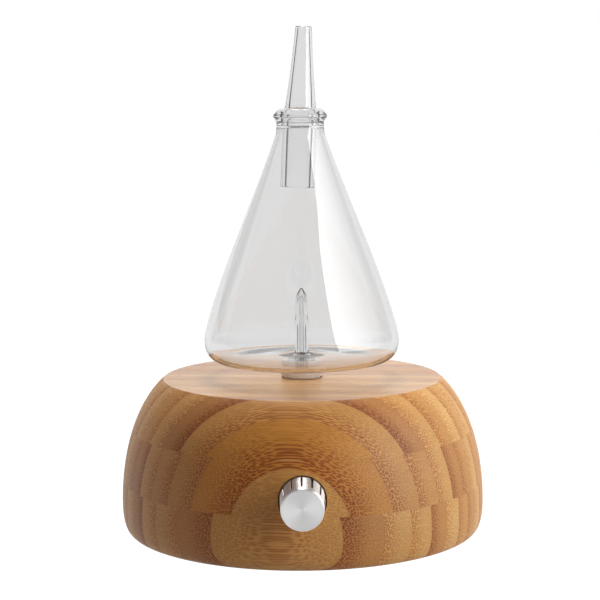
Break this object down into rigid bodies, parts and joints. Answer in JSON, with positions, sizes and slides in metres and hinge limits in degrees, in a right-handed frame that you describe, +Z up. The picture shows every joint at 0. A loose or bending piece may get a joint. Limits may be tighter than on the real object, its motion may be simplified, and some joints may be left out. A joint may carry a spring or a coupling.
{
  "type": "essential oil diffuser",
  "caption": "Waterless nebulising diffuser: turned bamboo dome base with a metal knob, conical clear glass flask with inner nozzle, and a tapering glass mist tube in its mouth.",
  "frame": {"origin": "on the surface it stands on, at the middle of the bounding box; the turning axis of the base and glass lies 5.75 mm behind it, because the knob stands out in front", "axes": "+Z up along the glass, -Y towards the front with the knob, +X to the right seen from the front"},
  "size_m": [0.135, 0.1465, 0.1861],
  "materials": {
    "bamboo": "turned laminated bamboo, satin lacquer",
    "black_plastic": "fine moulded texture",
    "white_plastic": "smooth moulded",
    "rubber": "matt",
    "steel": "zinc plated",
    "aluminium": "spun face, polished side",
    "brass": "machined",
    "board_green": "solder mask",
    "foam": "open-cell foam",
    "silicone": "translucent, soft sheen",
    "glass": "clear borosilicate, fire polished",
    "red_insulation": "smooth"
  },
  "bodies": {
    "base": {"bamboo_housing": "bamboo", "bottom_cover": "black_plastic", "dc_jack": "black_plastic", "control_chip": "black_plastic", "capacitor": "black_plastic", "motor_end_cap": "black_plastic", "pump_body": "black_plastic", "pump_head": "black_plastic", "power_wire_black": "black_plastic", "motor_wire_black": "black_plastic", "power_connector": "white_plastic", "swing_plate": "white_plastic", "valve_plate": "white_plastic", "pump_cradle": "white_plastic", "glass_socket": "white_plastic", "led": "white_plastic", "rubber_foot_1": "rubber", "rubber_foot_2": "rubber", "rubber_foot_3": "rubber", "rubber_foot_4": "rubber", "pump_diaphragm": "rubber", "cover_screw_1": "steel", "cover_screw_2": "steel", "cover_screw_3": "steel", "cover_screw_4": "steel", "pot_bushing": "steel", "pot_case": "steel", "pot_nut": "steel", "board_screw_1": "steel", "board_screw_2": "steel", "board_screw_3": "steel", "board_screw_4": "steel", "motor_can": "steel", "pump_strap": "steel", "strap_screw_1": "steel", "strap_screw_2": "steel", "dc_jack_pin": "brass", "dc_jack_nut": "brass", "board_standoff_1": "brass", "board_standoff_2": "brass", "board_standoff_3": "brass", "board_standoff_4": "brass", "control_board": "board_green", "foam_sleeve": "foam", "intake_filter": "foam", "air_hose": "silicone", "silicone_gasket": "silicone", "power_wire_red": "red_insulation", "motor_wire_red": "red_insulation"},
    "knob": {"control_knob": "aluminium", "knob_set_screw": "steel", "pot_shaft": "steel"},
    "pump_rotor": {"motor_shaft": "steel", "motor_armature": "brass", "pump_eccentric": "brass"},
    "flask": {"glass_flask": "glass", "air_jet": "glass", "nozzle_sleeve": "glass"},
    "mist_outlet": {"mist_tube": "glass"}
  },
  "joints": [
    {"name": "knob_turn", "type": "hinge", "parent": "base", "child": "knob", "pos_m": [0, -0.05475, 0.0255], "axis": [0, 1, 0], "range_deg": [0, 300]},
    {"name": "pump_spin", "type": "hinge", "parent": "base", "child": "pump_rotor", "pos_m": [0.004, 0.02475, 0.025], "axis": [1, 0, 0], "continuous": true},
    {"name": "flask_lift", "type": "slide", "parent": "base", "child": "flask", "axis": [0, 0, 1], "range_m": [0, 0.03]},
    {"name": "mist_tube_lift", "type": "slide", "parent": "flask", "child": "mist_outlet", "axis": [0.0454, 0, 0.999], "range_m": [0, 0.035]}
  ]
}
